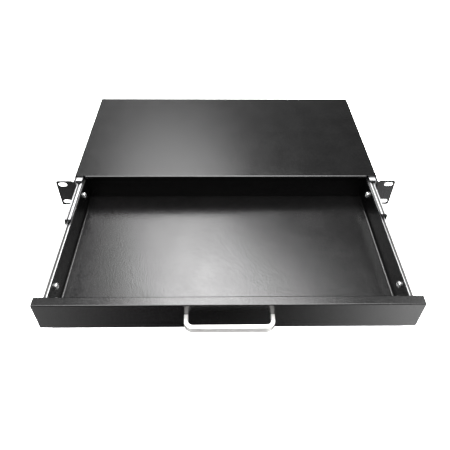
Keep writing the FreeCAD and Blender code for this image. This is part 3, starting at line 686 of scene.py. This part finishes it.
# pan screws: seat is where the head sits on a slide's own x, turn how far each is turned
trayScrew = {"head": 8.0, "rise": 2.6, "rim": 1.0, "shank": 4.0, "grip": 4.7, "slot": 1.2,
             "recess": 1.5, "places": innerMember["holes"], "start": innerMember["start"],
             "seat": 13.9}
railScrew = {"head": 7.5, "rise": 2.2, "rim": 1.0, "shank": 4.0, "grip": 2.4, "slot": 0.9,
             "recess": 1.1, "places": outerMember["holes"], "start": outerMember["start"],
             "seat": -1.2}
screwTurn = {"first": 0.5, "step": 0.37}


def panScrew(screw):
    # one screw along +X: its head rises from x = 0 and its shank runs back
    radius, rise = screw["head"] / 2, screw["rise"]
    clearSelection()
    bpy.ops.mesh.primitive_cylinder_add(vertices=40, radius=radius * mm, depth=rise * mm,
                                        location=(0, 0, rise / 2 * mm))
    head = named("panScrew")
    settle(head)
    bpy.ops.object.mode_set(mode="EDIT")
    selectFaces(lambda centre, normal: normal.z > 0.9)
    bpy.ops.mesh.bevel(offset=(rise - screw["rim"]) * mm, segments=7, profile=0.5)
    selectFaces(lambda centre, normal: normal.z < -0.9 and near(centre.z, 0))
    bpy.ops.mesh.inset(thickness=(radius - screw["shank"] / 2) * mm)
    bpy.ops.mesh.extrude_region_move(TRANSFORM_OT_translate={"value": (0, 0, -screw["grip"] * mm)})
    bpy.ops.object.mode_set(mode="OBJECT")
    long, short = screw["head"] / 4, screw["slot"] / 2
    deep = (rise - screw["recess"], rise * 2)
    cross = block((-long, long), (-short, short), deep)
    joinSolid(cross, block((-short, short), (-long, long), deep))
    faceOut(head)
    cutAway(head, cross)
    softenRims(head, 0.08, 1, 60)
    pick(head)
    head.data.transform(Matrix.Rotation(math.pi / 2, 4, "Y"))
    return head


def screwRow(screw, side, name, body, node):
    single = panScrew(screw)
    if screw["seat"] < 0:
        single.data.transform(Matrix.Rotation(math.pi, 4, "Z"))
    row = []
    for place in screw["places"]:
        copy = duplicate(single, "screwCopy")
        turn = Matrix.Rotation(screwTurn["first"] + place * screwTurn["step"], 4, "X")
        copy.data.transform(Matrix.Translation((screw["seat"] * mm, place * mm, 0)) @ turn)
        row.append(copy)
    bpy.data.objects.remove(single)
    whole = joinPieces(row, name)
    placeSlide(whole, side, screw["start"])
    return fit(whole, body, node, screwMetal)


for side, name in ((-1, "left"), (1, "right")):
    screwRow(trayScrew, side, f"trayScrews{name.title()}", "drawer", f"tray_screws_{name}")
    screwRow(railScrew, side, f"railScrews{name.title()}", "case", f"rail_screws_{name}")
print("screws turned")


# the CAD nodes that stay, with their finishes
keptFinish = {
    "base_plate": blackCoat, "base_screws": screwMetal, "clinch_nuts": screwMetal,
    "front_nuts": screwMetal, "handle_screws": screwMetal,
    "outer_cage_left": zinc, "outer_cage_right": zinc, "inner_cage_left": zinc,
    "inner_cage_right": zinc, "outer_balls_left": ballSteel, "outer_balls_right": ballSteel,
    "inner_balls_left": ballSteel, "inner_balls_right": ballSteel, "outer_bumper_left": plastic,
    "outer_bumper_right": plastic,
}
for node, material in keptFinish.items():
    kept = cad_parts[node]
    kept.data.materials.clear()
    kept.data.materials.append(material)


# the studio: a pale floor, a dim room with soft glows, three soft lamps and the camera
studio = {"floor": (0.93, 0.93, 0.93), "floorPale": (0.95, 0.95, 0.95), "floorSize": 12.0,
          "floorLevel": -22.05, "floorMottle": 6.0, "floorRough": 0.9, "glow": 1.0,
          "ambient": 0.004, "horizon": 0.22, "horizonSpread": 0.13, "horizonGlow": 0.45}

# bearing from the back, height, strength and spread, in degrees
glows = {
    "frontLeft": (-135, -42, 1.8, 10.0),
    "frontRight": (135, -42, 4.2, 10.0),
    "backLow": (-14, 30, 0.50, 16.0),
    "sideLeft": (-54, 42, 8.0, 6.5),
    "sideRight": (54, 42, 12.0, 6.5),
    "top": (0, 98, 24.0, 14.0),
}


def bearing(turn, rise):
    turn, rise = math.radians(turn), math.radians(rise)
    return Vector((math.sin(turn) * math.cos(rise), math.cos(turn) * math.cos(rise),
                   math.sin(rise)))


def makeStage():
    clearSelection()
    bpy.ops.mesh.primitive_plane_add(size=studio["floorSize"],
                                     location=(0, 0, studio["floorLevel"] * mm))
    floor = named("studioFloor")
    settle(floor)
    shader = Shader("paleFloor")
    colour = shader.blend(shader.noise(studio["floorMottle"]), studio["floor"],
                          studio["floorPale"])
    floor.data.materials.append(shader.finish(Base_Color=colour, Roughness=studio["floorRough"],
                                              Emission_Color=(1, 1, 1, 1),
                                              Emission_Strength=studio["glow"]))
    floor.visible_glossy = False
    world = bpy.data.worlds.new("studioWorld")
    bpy.context.scene.world = world
    world.use_nodes = True
    shader = Shader("studioWorld", world, "Background", "Generated")
    light = studio["ambient"]
    for turn, rise, strength, spread in glows.values():
        facing = shader.add("ShaderNodeVectorMath", {"operation": "DOT_PRODUCT"},
                            [shader.place, bearing(turn, rise)], "Value")
        sharp = 1 / math.radians(spread) ** 2
        light = ((facing - 1.0) * sharp).maths("EXPONENT") * strength + light
    height = shader.axis("Z").maths("ABSOLUTE")
    off = (height - studio["horizon"]) * (1 / studio["horizonSpread"])
    light = light + (off * off * -1).maths("EXPONENT") * studio["horizonGlow"]
    seen = shader.add("ShaderNodeLightPath", {}, {}, "Is Camera Ray")
    shader.finish(Color=(1, 1, 1, 1), Strength=seen + (1 - seen) * light)


# bearing from the back, height, distance, size and watts, in metres
lamps = {
    "softboxHigh": (4.8, 60.4, 5.0, 2.04, 108.0),
    "softboxLeft": (-7.9, 52.6, 5.0, 1.52, 52.3),
    "softboxLow": (-8.1, 41.4, 5.0, 1.57, 24.7),
}


def makeLamps():
    for name, (turn, rise, distance, size, watts) in lamps.items():
        lamp = bpy.data.lights.new(name, "AREA")
        lamp.shape = "DISK"
        lamp.size, lamp.energy = size, watts
        holder = bpy.data.objects.new(name, lamp)
        bpy.context.scene.collection.objects.link(holder)
        holder.location = bearing(turn, rise) * distance
        holder.rotation_mode = "QUATERNION"
        holder.rotation_quaternion = (-holder.location).to_track_quat("-Z", "Y")


# place in millimetres, angles in degrees, and the lens with its sensor in millimetres
view = {"place": (-13.03, -511.05, 436.71), "pitch": 44.462, "yaw": 1.289, "roll": -0.749,
        "lens": 36.99, "sensor": 36.0, "clip": (0.01, 20.0)}


def makeCamera():
    pitch, yaw, roll = (math.radians(view[key]) for key in ("pitch", "yaw", "roll"))
    ahead = Vector((math.sin(yaw) * math.cos(pitch), math.cos(yaw) * math.cos(pitch),
                    -math.sin(pitch)))
    level = Vector((math.cos(yaw), -math.sin(yaw), 0))
    down = ahead.cross(level)
    right = level * math.cos(roll) + down * math.sin(roll)
    lower = down * math.cos(roll) - level * math.sin(roll)
    camera = bpy.data.cameras.new("studioCamera")
    camera.sensor_width, camera.lens = view["sensor"], view["lens"]
    camera.clip_start, camera.clip_end = view["clip"]
    holder = bpy.data.objects.new("studioCamera", camera)
    bpy.context.scene.collection.objects.link(holder)
    turned = Matrix((right, -lower, -ahead)).transposed().to_4x4()
    holder.matrix_world = Matrix.Translation(Vector(view["place"]) * mm) @ turned
    bpy.context.scene.camera = holder


makeStage()
makeLamps()
makeCamera()
bpy.context.scene.view_settings.view_transform = "Standard"
print("studio ready")
